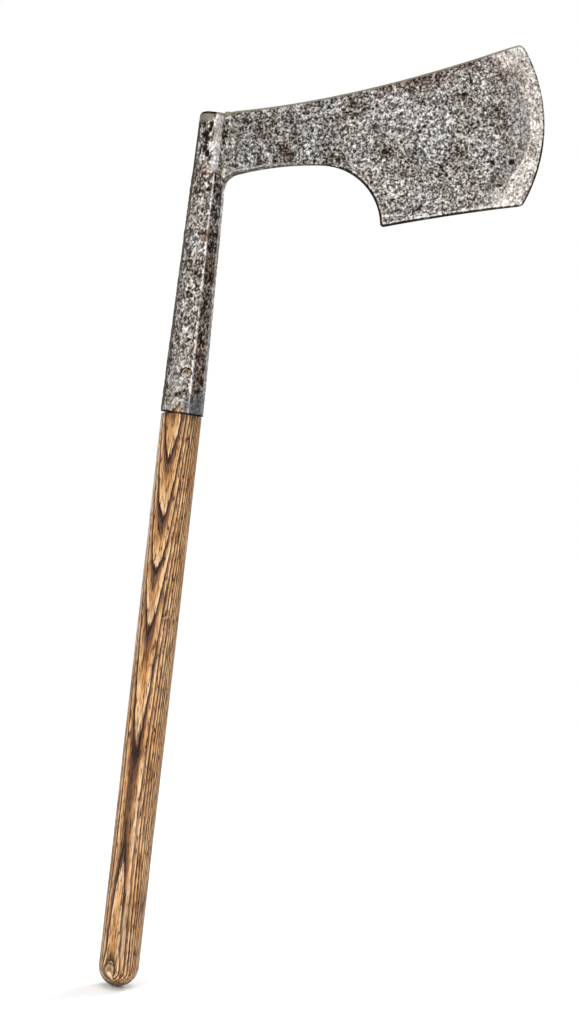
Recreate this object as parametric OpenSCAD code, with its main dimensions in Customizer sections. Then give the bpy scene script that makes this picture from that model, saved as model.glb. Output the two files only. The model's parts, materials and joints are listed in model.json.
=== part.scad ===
// Broad axe: a single-bevel hewing axe with a long rolled socket on a straight ash haft.
// The origin is the middle of the bare haft, on its axis. +Z runs up the haft to the head,
// +X runs out to the cutting edge, and the front, which carries the bevel, faces -Y.
// The blade's back and the socket's back share one plane, as on any flat-sided broad axe.

/* [Haft] */
// Diameter of the round grip
haft_d = 34.6; // [30:0.1:37]
// Length of the bare haft, from the socket's mouth to the end of the butt
haft_length = 491.2; // [300:0.2:620]
// Gap between the haft's shoulder and the socket's mouth
shoulder_gap = 2; // [0.5:0.5:4]
// Depth of the wood's end below the socket's top
end_recess = 1.5; // [0.5:0.5:4]

/* [Socket] */
// Length of the socket, from its mouth to its top
socket_length = 256; // [230:1:290]
// Outer diameter at the mouth, before the flats are forged
mouth_d = 36.8; // [35.5:0.1:40]
// Outer diameter at the top, before the flats are forged
top_d = 27.2; // [26:0.1:29]
// Wall thickness at the mouth
mouth_wall = 3.6; // [3:0.1:4.5]
// Wall thickness at the top
top_wall = 2.8; // [2.4:0.1:3.4]
// Height of the open seam at the mouth
seam_height = 11; // [6:0.5:20]
// Width of the open seam at the mouth
seam_width = 9; // [4:0.5:12]

/* [Blade] */
// Distance from the haft's axis to the middle of the cutting edge
reach = 281.9; // [270:0.1:300]
// Radius of the cutting edge's curve
edge_r = 135; // [129:1:145]
// Thickness of the blade where the steel bit begins
blade_t = 4.6; // [3.5:0.1:6]
// Thickness of the neck beside the socket
neck_t = 22; // [18:0.5:23]
// Radius of the curved throat under the beard
throat_r = 51.3; // [47:0.1:54]

/* [Steel bit] */
// Width of the steel that is forge-welded along the cutting edge
bit_width = 21; // [15:0.5:25]
// Width of the ground bevel
bevel_width = 16; // [10:0.5:20]
// Thickness left at the worn cutting edge
edge_t = 0.6; // [0.5:0.1:1.2]

/* [Nails and wedge] */
// Diameter of a nail's head
nail_head_d = 8.6; // [7:0.1:9.4]
// Diameter of the punched hole that the head sits in
nail_hole_d = 10; // [9.6:0.1:11]
// Length of a nail's shank
nail_length = 23; // [15:0.5:26]
// Height of the front nail above the mouth
front_nail_height = 33; // [25:0.5:45]
// Height of the back nail above the mouth
back_nail_height = 58; // [52:0.5:75]
// Thickness of the wedge at its driven end
wedge_t = 3.6; // [2.5:0.1:4.5]
// Depth that the wedge is driven to
wedge_depth = 42; // [30:1:60]

/* [Hidden] */
$fn = 96;

// Heights of the joints along the haft's axis
mouth_z = haft_length / 2;
butt_z = -mouth_z;
top_z = mouth_z + socket_length;
shoulder_z = mouth_z - shoulder_gap;
haft_end_z = top_z - end_recess;

// Radii at the socket's two ends, and the bore that the haft's tenon fills
haft_r = haft_d / 2;
mouth_r = mouth_d / 2;
top_r = top_d / 2;
mouth_bore_r = mouth_r - mouth_wall;
top_bore_r = top_r - top_wall;
past = 5;

// The flats stand at this share of the local radius. They run down the front, down the back
// and along the corner between each of them and the blade's side
flat_share = 0.93;
flat_turns = [0, 40, 140, 180];
flat_tilt = atan(flat_share * (mouth_r - top_r) / socket_length);

// The blade is drawn in its own plane: x from the haft's axis, and the second coordinate
// up from the socket's top. Its back is the plane of the socket's back flat
blade_root_x = 5.6;
edge_centre = [reach - edge_r, 10.2];
top_edge_r = 1345;
top_edge_centre = centre_left([0, -0.4], [226, 79.4], top_edge_r);
heel_edge_r = 1700;
heel_edge_centre = centre_left([264.2, -47], [160.9, -74.6], heel_edge_r);
throat_centre = [99.2, -81.7];
neck_turn = 94.7;
neck_curve_r = 260;
neck_way = [cos(neck_turn), sin(neck_turn)];
neck_curve_centre = throat_centre + neck_way * (throat_r - neck_curve_r);
neck_meets_throat = throat_centre + neck_way * throat_r;

// Rounding of the outline's corners
tip_r = 6;
beard_r = 3;
fillet_r = 14;
toe_centre = crossing(edge_centre, edge_r - tip_r, top_edge_centre, top_edge_r + tip_r, -1);
heel_centre = crossing(edge_centre, edge_r - tip_r, heel_edge_centre, heel_edge_r + tip_r, 1);
beard_centre = crossing(throat_centre, throat_r + beard_r, heel_edge_centre, heel_edge_r + beard_r, 1);
fillet_x = top_r + fillet_r + 0.7;
fillet_drop = sqrt(pow(neck_curve_r - fillet_r, 2) - pow(fillet_x - neck_curve_centre.x, 2));
fillet_centre = [fillet_x, neck_curve_centre.y + fillet_drop];

// The neck's thickness fades into the blade's between these two distances
neck_full_x = 11;
neck_gone_x = 225;
neck_steps = 14;

// The weld between the body and the bit is concentric with the cutting edge
weld_r = edge_r - bit_width;
bevel_r = edge_r - bevel_width;
bevel_slope = (blade_t - edge_t) / bevel_width;
weld_x = 200;

// The nails are square and tapered, and each head beds on a flat in the wood
nail_x = 1;
nail_w = 3.4;
nail_point_w = 1;
nail_head_t = 2.2;
nail_dome = 0.8;
nail_bed = 0.7;
wedge_tip_t = 0.8;

function unit(v) = v / norm(v);

// Outer and bore radius of the socket at a height
function outer_r(z) = mouth_r + (top_r - mouth_r) * (z - mouth_z) / socket_length;
function bore_r(z) = mouth_bore_r + (top_bore_r - mouth_bore_r) * (z - mouth_z) / socket_length;

// Centre of the circle of radius r through p and q, to the left of the way from p to q
function centre_left(p, q, r) =
    let (d = q - p, left = [-d.y, d.x] / norm(d))
    (p + q) / 2 + left * sqrt(r * r - d * d / 4);

// Where two circles cross: side is 1 for the left of the way between centres, and -1 for the right
function crossing(c1, r1, c2, r2, side) =
    let (d = norm(c2 - c1), u = (c2 - c1) / d, a = (d * d + r1 * r1 - r2 * r2) / (2 * d))
    c1 + a * u + side * sqrt(r1 * r1 - a * a) * [-u.y, u.x];

// Thickness of the blade at a distance from the haft's axis
function thickness(x) =
    let (share = min(1, max(0, (neck_gone_x - x) / (neck_gone_x - neck_full_x))))
    blade_t + (neck_t - blade_t) * pow(share, 4);

// The waste outside a round of radius r that fits a corner: way1 and way2 point from the
// round's centre to where it touches the two sides
module corner_waste(centre, way1, way2, r) {
    difference() {
        polygon([centre, centre + way1 * 2 * r, centre + unit(way1 + way2) * 4 * r, centre + way2 * 2 * r]);
        translate(centre) circle(r);
    }
}

// Open space under the neck and inside the beard
module throat_outline() {
    translate(throat_centre) circle(throat_r, $fn = 180);
    difference() {
        intersection() {
            translate(neck_curve_centre) circle(neck_curve_r, $fn = 360);
            translate([-top_d, -2 * neck_curve_r]) square([top_d + neck_meets_throat.x, 2 * neck_curve_r]);
        }
        corner_waste(fillet_centre, [-1, 0], unit(fillet_centre - neck_curve_centre), fillet_r);
    }
}

// Outline of the whole blade, from the socket to the cutting edge
module blade_outline() {
    difference() {
        union() {
            translate(edge_centre) circle(edge_r, $fn = 360);
            translate([blade_root_x, -edge_r]) square([edge_centre.x - blade_root_x, 2 * edge_r]);
        }
        translate([blade_root_x - edge_r, -edge_r]) square([edge_r, 2 * edge_r]);
        translate(top_edge_centre) circle(top_edge_r, $fn = 720);
        translate(heel_edge_centre) circle(heel_edge_r, $fn = 1080);
        throat_outline();
        corner_waste(toe_centre, unit(toe_centre - edge_centre), unit(top_edge_centre - toe_centre), tip_r);
        corner_waste(heel_centre, unit(heel_centre - edge_centre), unit(heel_edge_centre - heel_centre), tip_r);
        corner_waste(beard_centre, unit(throat_centre - beard_centre), unit(heel_edge_centre - beard_centre), beard_r);
    }
}

// The blade seen from above: its back lies on the x axis and the front bellies out to the neck
module blade_section() {
    step = (neck_gone_x - neck_full_x) / neck_steps;
    polygon(concat(
        [[blade_root_x - past, 0], [reach + past, 0], [reach + past, -blade_t]],
        [for (i = [0 : neck_steps]) [neck_gone_x - i * step, -thickness(neck_gone_x - i * step)]],
        [[blade_root_x - past, -neck_t]]
    ));
}

// Stands the blade's drawing plane up on the plane of the socket's back flat
module in_blade_plane() {
    translate([0, flat_share * top_r, top_z]) rotate([flat_tilt, 0, 0]) children();
}

// The blade's outline as a block, thicker than the blade on both sides
module outline_block() {
    translate([0, past, 0]) rotate([90, 0, 0]) linear_extrude(neck_t + 2 * past) blade_outline();
}

// Everything outside the weld line, where the bit takes over from the body
module bit_zone() {
    difference() {
        translate([weld_x, -edge_r, -edge_r]) cube([edge_r, 2 * edge_r, 2 * edge_r]);
        translate([edge_centre.x, edge_r + past, edge_centre.y])
            rotate([90, 0, 0]) cylinder(h = 2 * (edge_r + past), r = weld_r, $fn = 360);
    }
}

// Ring of steel with the bevel on its front face, running a little past the cutting edge
module bit_ring() {
    overrun = 2;
    translate([edge_centre.x, 0, edge_centre.y]) rotate([90, 0, 0]) rotate_extrude($fn = 360)
        polygon([
            [weld_r, 0],
            [edge_r + overrun, 0],
            [edge_r + overrun, edge_t - overrun * bevel_slope],
            [bevel_r, blade_t],
            [weld_r, blade_t]
        ]);
}

// Tapered outside of the socket, with its forged flats
module socket_outside() {
    difference() {
        translate([0, 0, mouth_z]) cylinder(h = socket_length, r1 = mouth_r, r2 = top_r);
        for (turn = flat_turns) {
            rotate([0, 0, turn]) translate([0, -flat_share * mouth_r, mouth_z]) rotate([-flat_tilt, 0, 0])
                translate([-mouth_d, -mouth_d, -past]) cube([2 * mouth_d, mouth_d, socket_length + 2 * past]);
        }
    }
}

// Tapered core that both the bore and the haft's tenon follow
module taper(low_z, high_z) {
    translate([0, 0, low_z]) cylinder(h = high_z - low_z, r1 = bore_r(low_z), r2 = bore_r(high_z));
}

// Triangle where the socket's rolled seam stands open at the mouth
module open_seam() {
    translate([nail_x, -mouth_r / 2, mouth_z]) rotate([90, 0, 0]) linear_extrude(mouth_r)
        polygon([[-seam_width / 2, -1], [seam_width / 2, -1], [0, seam_height]]);
}

// A nail lies along -Y, with the bottom of its head at the origin and its shank towards +Y
module nail_shank() {
    side = [
        [-nail_w / 2, 0],
        [nail_w / 2, 0],
        [nail_point_w / 2, nail_length],
        [-nail_point_w / 2, nail_length]
    ];
    intersection() {
        translate([0, 0, -nail_w]) linear_extrude(2 * nail_w) polygon(side);
        rotate([0, 90, 0]) translate([0, 0, -nail_w]) linear_extrude(2 * nail_w) polygon(side);
    }
}

// Head with a low dome, turned about the nail's own line
module nail_head() {
    head_r = nail_head_d / 2;
    dome_r = (head_r * head_r + nail_dome * nail_dome) / (2 * nail_dome);
    rotate([90, 0, 0]) rotate_extrude() intersection() {
        square([head_r, nail_head_t + nail_dome]);
        translate([0, nail_head_t + nail_dome - dome_r]) circle(dome_r, $fn = 180);
    }
}

// How far from the axis the bottom of a nail's head lies, at a height above the mouth
function nail_seat(height) = sqrt(pow(bore_r(mouth_z + height), 2) - pow(nail_head_d / 2, 2)) - nail_bed / 4;

// Puts a nail, or the hole for one, through the front wall or, turned about, the back wall
module at_nail(height, turn) {
    translate([nail_x, 0, mouth_z + height]) rotate([0, 0, turn]) translate([0, -nail_seat(height), 0]) children();
}

// Flat-bottomed bed and tapered hole that a nail leaves in the wood
module nail_print() {
    rotate([90, 0, 0]) cylinder(h = mouth_r, r = nail_head_d / 2);
    nail_shank();
}

// Long thin wedge, standing across the tenon's end in the blade's direction
module wedge_blank(top) {
    translate([-top_d, 0, haft_end_z]) rotate([90, 0, 90]) linear_extrude(2 * top_d)
        polygon([
            [-wedge_tip_t / 2, -wedge_depth],
            [wedge_tip_t / 2, -wedge_depth],
            [wedge_t / 2, 0],
            [wedge_t / 2, top],
            [-wedge_t / 2, top],
            [-wedge_t / 2, 0]
        ]);
}

// Wrought-iron plate with the neck that is welded to the socket's side
module blade_body() {
    color("#85807a") difference() {
        in_blade_plane() difference() {
            intersection() {
                outline_block();
                translate([0, 0, -edge_r]) linear_extrude(2 * edge_r) blade_section();
            }
            bit_zone();
        }
        socket_outside();
    }
}

// Hard steel along the cutting edge, ground on the front only
module steel_bit() {
    color("#c6c1b9") in_blade_plane() intersection() {
        outline_block();
        bit_ring();
        translate([weld_x, -edge_r, -edge_r]) cube([edge_r, 2 * edge_r, 2 * edge_r]);
    }
}

// Tapered tube that holds the haft, with its nail holes and its open seam
module socket() {
    color("#77716d") difference() {
        socket_outside();
        taper(mouth_z - past, top_z + past);
        open_seam();
        for (nail = [[front_nail_height, 0], [back_nail_height, 180]]) {
            at_nail(nail[0], nail[1]) rotate([90, 0, 0]) cylinder(h = mouth_r, r = nail_hole_d / 2);
        }
    }
}

// Ash haft: a domed butt, the round grip, a shoulder and the tapered tenon inside the socket
module haft() {
    color("#b07b46") difference() {
        union() {
            rotate_extrude() union() {
                translate([0, butt_z + haft_r]) square([haft_r, shoulder_z - butt_z - haft_r]);
                intersection() {
                    translate([0, butt_z + haft_r]) circle(haft_r);
                    translate([0, butt_z]) square([haft_r, 2 * haft_r]);
                }
            }
            taper(shoulder_z, haft_end_z);
        }
        wedge_blank(past);
        at_nail(front_nail_height, 0) nail_print();
        at_nail(back_nail_height, 180) nail_print();
    }
}

// Hardwood wedge that spreads the tenon's end against the bore
module haft_wedge() {
    color("#c99d68") intersection() {
        wedge_blank(0);
        taper(haft_end_z - wedge_depth - past, haft_end_z + past);
    }
}

// Forged nail through the front wall
module front_nail() {
    color("#5a5350") at_nail(front_nail_height, 0) union() {
        nail_head();
        nail_shank();
    }
}

// Forged nail through the back wall
module back_nail() {
    color("#5a5350") at_nail(back_nail_height, 180) union() {
        nail_head();
        nail_shank();
    }
}

blade_body();
steel_bit();
socket();
haft();
haft_wedge();
front_nail();
back_nail();
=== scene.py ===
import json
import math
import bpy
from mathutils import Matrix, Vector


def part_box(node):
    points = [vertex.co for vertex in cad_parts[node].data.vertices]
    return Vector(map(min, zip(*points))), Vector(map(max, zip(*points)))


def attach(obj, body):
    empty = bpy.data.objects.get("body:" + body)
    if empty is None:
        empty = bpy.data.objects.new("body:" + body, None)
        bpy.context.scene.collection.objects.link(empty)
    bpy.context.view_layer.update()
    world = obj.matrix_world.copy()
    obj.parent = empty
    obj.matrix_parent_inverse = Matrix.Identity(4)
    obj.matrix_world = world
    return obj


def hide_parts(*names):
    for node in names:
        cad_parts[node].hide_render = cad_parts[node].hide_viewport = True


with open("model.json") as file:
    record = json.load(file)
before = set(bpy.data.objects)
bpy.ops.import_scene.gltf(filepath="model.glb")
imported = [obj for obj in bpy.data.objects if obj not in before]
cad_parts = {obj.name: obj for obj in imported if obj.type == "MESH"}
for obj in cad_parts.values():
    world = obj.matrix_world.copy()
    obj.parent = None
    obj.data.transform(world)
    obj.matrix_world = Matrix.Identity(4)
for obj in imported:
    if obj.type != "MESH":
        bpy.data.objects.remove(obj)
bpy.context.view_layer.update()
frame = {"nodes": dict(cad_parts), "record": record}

# Broad axe. Every piece below is built in metres in the CAD's own frame: +Z runs up the haft to the head,
# +X out to the cutting edge, and the front, which carries the bevel, faces -Y.
from types import SimpleNamespace

import bpy
import numpy as np
from mathutils import Matrix, Vector
from mathutils.kdtree import KDTree

MM = 0.001


# ---------------- sizes, read from the CAD
def mesh_points(mesh):
    """A mesh's vertices as an array."""
    co = np.empty(len(mesh.vertices) * 3)
    mesh.vertices.foreach_get("co", co)
    return co.reshape(-1, 3)


def points_of(node):
    """A CAD node's vertices as an array."""
    return mesh_points(frame["nodes"][node].data)


def radii_at(node, z):
    """Smallest and largest distance from the haft's axis among a node's vertices at a height."""
    co = points_of(node)
    level = co[abs(co[:, 2] - z) < 0.05 * MM]
    r = np.hypot(level[:, 0], level[:, 1])
    return r.min(), r.max()


mounts = {m["name"]: m for m in frame["record"]["mounts"]}
GRIP_R = mounts["haft_grip"]["dims"]["r_mm"] * MM
haft_low, haft_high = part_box("haft")
socket_low, socket_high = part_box("socket")
BUTT_Z, HAFT_END_Z = haft_low.z, haft_high.z
MOUTH_Z, TOP_Z = socket_low.z, socket_high.z
haft_points = points_of("haft")
SHOULDER_Z = haft_points[np.hypot(haft_points[:, 0], haft_points[:, 1]) > 0.99 * GRIP_R][:, 2].max()
MOUTH_BORE_R, MOUTH_R = radii_at("socket", MOUTH_Z)
TOP_BORE_R, TOP_R = radii_at("socket", TOP_Z)

# The blade's back is a plane, and the blade is worked in it: across, up it, and out of it to the front
BACK_OUT = Vector(mounts["blade_flat"]["axis"]).normalized()
BACK_POINT = Vector(mounts["blade_flat"]["pos_m"])
FRONT_WAY = np.array(-BACK_OUT)
UP_WAY = np.array((0.0, -BACK_OUT.z, BACK_OUT.y))
BACK_Y_AT_TOP = BACK_POINT.y + (BACK_POINT.z - TOP_Z) * BACK_OUT.z / BACK_OUT.y
PLANE_ORIGIN = np.array((0.0, BACK_Y_AT_TOP, TOP_Z))

# The blade's thickness, as designed
BLADE_T, NECK_T, EDGE_T = 4.6 * MM, 22.0 * MM, 0.6 * MM
NECK_FULL_X, NECK_GONE_X = 11.0 * MM, 225.0 * MM
BIT_WIDTH, BEVEL_WIDTH = 21.0 * MM, 16.0 * MM

# The flats along the socket stand at this share of its radius, at these turns from the front
FLAT_SHARE = 0.93
FLAT_TURNS = (0.0, 40.0, 140.0, 180.0)


# ---------------- noise, worked out the same each run
def hashed(x, y, z, seed):
    """Random numbers from 0 to 1, one for each whole-number point."""
    h = (x * 374761393 + y * 668265263 + z * 2147483647 + seed * 974634777) & 0xFFFFFFFF
    h = ((h ^ (h >> 13)) * 1274126177) & 0xFFFFFFFF
    h = ((h ^ (h >> 16)) * 668265263) & 0xFFFFFFFF
    return ((h ^ (h >> 15)) & 0xFFFFFF) / 0xFFFFFF


def noise(points, size, seed):
    """Smooth noise, mostly between -1 and 1. size is how far apart its bumps are, in millimetres."""
    p = points / (np.asarray(size) * MM)
    cell = np.floor(p).astype(np.int64)
    f = p - cell
    ease = f * f * f * (f * (f * 6 - 15) + 10)
    total = np.zeros(len(p))
    for dx in (0, 1):
        for dy in (0, 1):
            for dz in (0, 1):
                x, y, z = cell[:, 0] + dx, cell[:, 1] + dy, cell[:, 2] + dz
                weight = (
                    (ease[:, 0] if dx else 1 - ease[:, 0])
                    * (ease[:, 1] if dy else 1 - ease[:, 1])
                    * (ease[:, 2] if dz else 1 - ease[:, 2])
                )
                lean_x, lean_y, lean_z = (hashed(x, y, z, seed + k) * 2 - 1 for k in range(3))
                slope = lean_x * (f[:, 0] - dx) + lean_y * (f[:, 1] - dy) + lean_z * (f[:, 2] - dz)
                total += weight * slope
    return total * 1.9


def cells(points, size, seed):
    """Distance to the nearest scattered point, in spacings, and that point's own random number. size is the
    spacing in millimetres."""
    p = points / (size * MM)
    cell = np.floor(p).astype(np.int64)
    nearest, own = np.full(len(p), 9.0), np.zeros(len(p))
    for dx in (-1, 0, 1):
        for dy in (-1, 0, 1):
            for dz in (-1, 0, 1):
                x, y, z = cell[:, 0] + dx, cell[:, 1] + dy, cell[:, 2] + dz
                away = np.sqrt(
                    (x + hashed(x, y, z, seed) - p[:, 0]) ** 2
                    + (y + hashed(x, y, z, seed + 1) - p[:, 1]) ** 2
                    + (z + hashed(x, y, z, seed + 2) - p[:, 2]) ** 2
                )
                closer = away < nearest
                nearest = np.where(closer, away, nearest)
                own = np.where(closer, hashed(x, y, z, seed + 3), own)
    return nearest, own


def smooth(low, high, value):
    """0 below low, 1 above high, and an eased step between them. low may be the larger one."""
    t = np.clip((value - low) / (high - low), 0, 1)
    return t * t * (3 - 2 * t)


def toned(tone, other, share):
    """One tone turned into another by a share from 0 to 1."""
    return tone * (1 - share) + other * share


def near(value, centre, width):
    """1 where a value is at its centre, falling off softly to each side."""
    return np.exp(-(((value - centre) / width) ** 2))


def taper(z, at_mouth, at_top):
    """A size that changes evenly along the socket, from its mouth to its top."""
    return at_mouth + (at_top - at_mouth) * (z - MOUTH_Z) / (TOP_Z - MOUTH_Z)


# ---------------- mesh helpers
def added(name, data):
    """A new object in the scene."""
    obj = bpy.data.objects.new(name, data)
    bpy.context.scene.collection.objects.link(obj)
    return obj


def new_object(name, mesh):
    """Adds a mesh to the scene as an object with smooth faces."""
    mesh.name = name
    mesh.shade_smooth()
    return added(name, mesh)


def mesh_from(points, faces, closed=True):
    """A mesh from an array of points and a list of faces. A closed one is turned to face outwards."""
    mesh = bpy.data.meshes.new("made")
    mesh.from_pydata(points.tolist(), [], faces)
    mesh.validate()
    return turned_out(mesh) if closed else mesh


def turned_out(mesh):
    """The closed mesh, with its faces turned outwards: its signed volume is made positive."""
    mesh.calc_loop_triangles()
    corners = np.empty(len(mesh.loop_triangles) * 3, dtype=np.int32)
    mesh.loop_triangles.foreach_get("vertices", corners)
    a, b, c = mesh_points(mesh)[corners.reshape(-1, 3)].transpose(1, 0, 2)
    if np.einsum("ij,ij->i", a, np.cross(b, c)).sum() < 0:
        mesh.flip_normals()
    return mesh


def mesh_normals(mesh):
    """A mesh's vertex normals as an array."""
    n = np.empty(len(mesh.vertices) * 3)
    mesh.vertex_normals.foreach_get("vector", n)
    return n.reshape(-1, 3)


def set_points(mesh, points):
    """Moves a mesh's vertices."""
    mesh.vertices.foreach_set("co", points.ravel())
    mesh.update()


def keep(mesh, **fields):
    """Stores one number for each vertex under each name, for the materials to read."""
    for name, values in fields.items():
        layer = mesh.attributes.get(name) or mesh.attributes.new(name, "FLOAT", "POINT")
        layer.data.foreach_set("value", np.asarray(values, float))


def turned_points(turn, r, z):
    """Ways out from the haft's axis, and the points at those turns from the front, radii and heights."""
    way = np.column_stack([np.sin(turn), -np.cos(turn), np.zeros(len(turn))])
    return way, way * r[:, None] + np.outer(z, (0, 0, 1))


def grid_faces(rows, columns, close_rows=False):
    """Quads of a grid whose columns close into rings. close_rows joins the last row to the first as well."""
    steps = rows if close_rows else rows - 1
    i, j = np.meshgrid(np.arange(steps), np.arange(columns), indexing="ij")
    up, on = (i + 1) % rows, (j + 1) % columns
    quads = np.stack([i * columns + j, i * columns + on, up * columns + on, up * columns + j], axis=-1)
    return quads.reshape(-1, 4).tolist()


def end_caps(columns, count):
    """The faces that close the first and the last ring of count points."""
    return [tuple(range(columns))[::-1], tuple(range(count - columns, count))]


def applied(obj):
    """The object's mesh with its modifiers applied, and the object removed."""
    bpy.context.view_layer.update()
    mesh = bpy.data.meshes.new_from_object(obj.evaluated_get(bpy.context.evaluated_depsgraph_get()))
    bpy.data.objects.remove(obj)
    return mesh


def remeshed(mesh, voxel):
    """The same solid rebuilt from small even quads."""
    obj = new_object("blank", mesh)
    step = obj.modifiers.new("even_quads", "REMESH")
    step.mode = "VOXEL"
    step.voxel_size = voxel
    return applied(obj)


def cut(mesh, tool, how):
    """mesh with tool taken away (DIFFERENCE) or only what both hold (INTERSECT)."""
    tool_object = new_object("tool", tool.copy())
    obj = new_object("blank", mesh)
    step = obj.modifiers.new("cut", "BOOLEAN")
    step.operation = how
    step.solver = "MANIFOLD"
    step.object = tool_object
    result = applied(obj)
    bpy.data.objects.remove(tool_object)
    return result


def prism(outline, way, start, end):
    """A closed solid: a list of corner points pushed from start to end along a direction."""
    corners = np.array(outline, float)
    count = len(corners)
    points = np.vstack([corners + np.array(way) * start, corners + np.array(way) * end])
    sides = [(i, (i + 1) % count, (i + 1) % count + count, i + count) for i in range(count)]
    return mesh_from(points, end_caps(count, 2 * count) + sides)


def place(obj, material, slot, *nodes):
    """Gives a finished piece its material and ties it to the CAD."""
    obj.data.materials.clear()
    obj.data.materials.append(material)
    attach(obj, "root")
    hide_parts(*nodes)


# ---------------- camera, floor and light
def make_camera():
    """The photographed view: level with the haft, leaning so that the head tips to the right."""
    distance, seen_height, lean = 1.5, 0.8732, math.radians(6.5)
    centre = Vector((0.1012, 0.0, 0.1722))
    right = Vector((math.cos(lean), 0, math.sin(lean)))
    up = Vector((-math.sin(lean), 0, math.cos(lean)))
    camera = bpy.data.cameras.new("camera")
    camera.sensor_width = 36
    camera.lens = camera.sensor_width * distance / seen_height
    camera.clip_end = 50
    obj = added("camera", camera)
    turn = Matrix((right, up, right.cross(up))).transposed().to_4x4()
    obj.matrix_world = Matrix.Translation(centre + Vector((0, -distance, 0))) @ turn
    bpy.context.scene.camera = obj


def make_floor():
    """A round pale floor just under the butt, which fades into the white room around it."""
    reach, fades_from, sides, z = 2.0, 0.7, 128, BUTT_Z - 0.5 * MM
    turn = np.linspace(0, 2 * math.pi, sides, endpoint=False)
    rim = np.column_stack([reach * np.cos(turn), reach * np.sin(turn), np.full(sides, z)])
    floor = new_object("floor", mesh_from(rim, [tuple(range(sides))], closed=False))
    material, tree = new_material("floor_paint")
    grain = speckle(tree, 60 * MM)
    colour = ramp(tree, grain, ((0.3, (0.94, 0.94, 0.94)), (0.7, (0.97, 0.97, 0.97))))
    surface = finish_material(tree, colour, 0.0, 0.9)
    place_at = tree.nodes.new("ShaderNodeTexCoord")
    away = tree.nodes.new("ShaderNodeVectorMath")
    away.operation = "LENGTH"
    link(tree, place_at.outputs["Object"], away.inputs[0])
    span = reach - fades_from
    solid = maths(tree, "MULTIPLY_ADD", away.outputs["Value"], -1 / span, reach / span, clamp=True)
    link(tree, solid, surface.inputs["Alpha"])
    floor.data.materials.append(material)


def make_light(name, spot, size, power, colour=(1, 1, 1)):
    """A square soft box that faces the head's end of the haft."""
    lamp = bpy.data.lights.new(name, "AREA")
    lamp.shape, lamp.size, lamp.energy, lamp.color = "SQUARE", size, power, colour
    obj = added(name, lamp)
    aim = Vector((0.08, 0, 0.2)) - Vector(spot)
    obj.matrix_world = Matrix.Translation(spot) @ aim.to_track_quat("-Z", "Y").to_matrix().to_4x4()


def make_lights():
    """A white room that is brighter to look at than to be lit by, a key from the upper left, soft fills, and
    a wide light overhead that keeps the floor white."""
    world = bpy.data.worlds.new("studio")
    bpy.context.scene.world = world
    world.use_nodes = True
    tree = world.node_tree
    tree.nodes.clear()
    shown = add(tree, "ShaderNodeBackground", Color=(1, 1, 1, 1), Strength=1.0)
    lit = add(tree, "ShaderNodeBackground", Color=(1, 1, 1, 1), Strength=0.28)
    path = add(tree, "ShaderNodeLightPath")
    both = add(tree, "ShaderNodeMixShader")
    link(tree, path.outputs["Is Camera Ray"], both.inputs[0])
    link(tree, lit.outputs[0], both.inputs[1])
    link(tree, shown.outputs[0], both.inputs[2])
    out = add(tree, "ShaderNodeOutputWorld")
    link(tree, both.outputs[0], out.inputs[0])
    make_light("key", (-1.2, -2.2, 1.2), 1.0, 44)
    make_light("fill", (1.6, -2.2, 0.5), 1.2, 23.5)
    make_light("back_key", (1.4, 1.8, 1.3), 1.0, 40)
    make_light("back_fill", (-1.6, 1.9, 0.4), 1.2, 14)
    make_light("top", (0.05, 0.0, 3.2), 3.0, 60)


# ---------------- material helpers
def new_material(name):
    """A material with an empty node tree."""
    material = bpy.data.materials.new(name)
    material.use_nodes = True
    material.node_tree.nodes.clear()
    return material, material.node_tree


def link(tree, source, target):
    """Joins an output to an input."""
    tree.links.new(source, target)


def feed(tree, value, target):
    """Sets an input to a value, or joins another node's output to it."""
    if isinstance(value, bpy.types.NodeSocket):
        link(tree, value, target)
    else:
        target.default_value = value


def add(tree, kind, **inputs):
    """A node whose named inputs are values or other nodes' outputs. An underscore stands for a space."""
    node = tree.nodes.new(kind)
    for name, value in inputs.items():
        feed(tree, value, node.inputs[name.replace("_", " ")])
    return node


def maths(tree, operation, a, b=0.5, c=0.5, clamp=False):
    """One step of arithmetic, whose parts are numbers or outputs."""
    node = tree.nodes.new("ShaderNodeMath")
    node.operation, node.use_clamp = operation, clamp
    for target, value in zip(node.inputs, (a, b, c)):
        feed(tree, value, target)
    return node.outputs[0]


def field(tree, name):
    """A number that keep() stored on the mesh."""
    node = tree.nodes.new("ShaderNodeAttribute")
    node.attribute_name = name
    return node.outputs["Fac"]


def speckle(tree, size, stretch=(1, 1, 1), detail=2.0, rough=0.5):
    """Noise from 0 to 1 in the piece's own space, whose grains are size across, in metres."""
    place_at = tree.nodes.new("ShaderNodeTexCoord").outputs["Object"]
    at = add(tree, "ShaderNodeMapping", Vector=place_at, Scale=[1 / s for s in stretch]).outputs[0]
    node = add(tree, "ShaderNodeTexNoise", Vector=at, Scale=0.5 / size, Detail=detail, Roughness=rough)
    return node.outputs["Fac"]


def ramp(tree, factor, shades):
    """A colour ramp through (place, linear colour) stops."""
    node = add(tree, "ShaderNodeValToRGB", Fac=factor)
    elements = node.color_ramp.elements
    while len(elements) < len(shades):
        elements.new(0.5)
    for element, (at, colour) in zip(elements, shades):
        element.position = at
        element.color = (*colour, 1)
    return node.outputs["Color"]


def seen(*display):
    """The linear colour of a colour given as display values from 0 to 255."""
    return tuple((v / 255 / 12.92) if v < 10.3 else ((v / 255 + 0.055) / 1.055) ** 2.4 for v in display)


def stops(*colours):
    """Display colours as a ramp's stops, spread evenly from 0 to 1."""
    return tuple((i / (len(colours) - 1), seen(*colour)) for i, colour in enumerate(colours))


def mix(tree, factor, a, b, blend="MIX"):
    """Two colours mixed by a factor."""
    node = tree.nodes.new("ShaderNodeMix")
    node.data_type, node.blend_type = "RGBA", blend
    for index, value in ((0, factor), (6, a), (7, b)):
        feed(tree, (*value, 1) if isinstance(value, tuple) else value, node.inputs[index])
    return node.outputs[2]


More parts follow.
